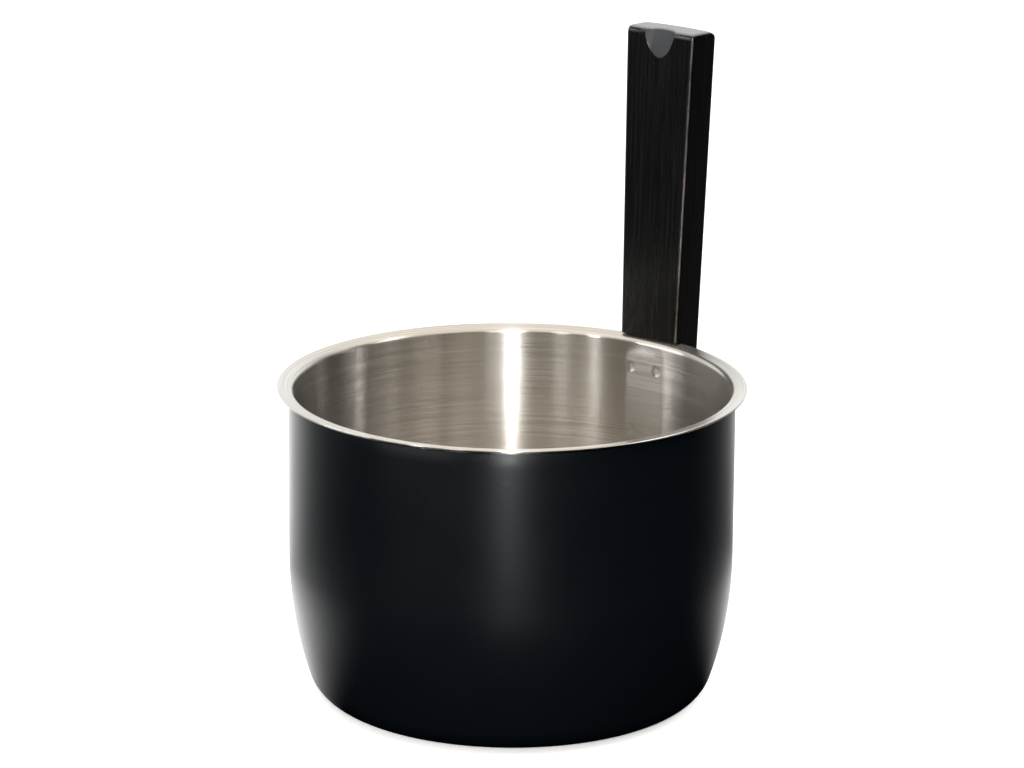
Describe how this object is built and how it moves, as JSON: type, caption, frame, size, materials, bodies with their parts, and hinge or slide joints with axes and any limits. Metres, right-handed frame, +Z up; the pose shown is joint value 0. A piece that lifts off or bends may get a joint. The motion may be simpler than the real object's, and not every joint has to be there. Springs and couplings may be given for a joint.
{
  "type": "candle melting pot",
  "caption": "Open round melting pot with curved lower sides, flared rim, bare steel inside, matt black outside and an upright black wooden handle.",
  "frame": {"origin": "on the pot's axis, on the underside of its base", "axes": "+Z up along the pot's axis; +Y towards the handle; +X to the right when looking along +Y"},
  "size_m": [0.1724, 0.1882, 0.2366],
  "materials": {
    "brushed_steel": "brushed stainless steel, lines running round the pot",
    "black_coating": "matt black heat-resistant coating on steel",
    "aluminium": "turned aluminium",
    "bracket_steel": "pressed stainless steel",
    "heat_fibre": "pressed heat-resistant fibre sheet",
    "plated_steel": "bright plated steel",
    "black_wood": "black lacquered wood"
  },
  "bodies": {
    "root": {"inner_pot": "brushed_steel", "outer_shell": "black_coating", "heat_spreader": "aluminium", "handle_bracket": "bracket_steel", "insulating_pad": "heat_fibre", "upper_boss": "bracket_steel", "lower_boss": "bracket_steel", "upper_screw": "plated_steel", "lower_screw": "plated_steel", "upper_washer": "plated_steel", "lower_washer": "plated_steel", "wooden_handle": "black_wood"}
  },
  "joints": []
}
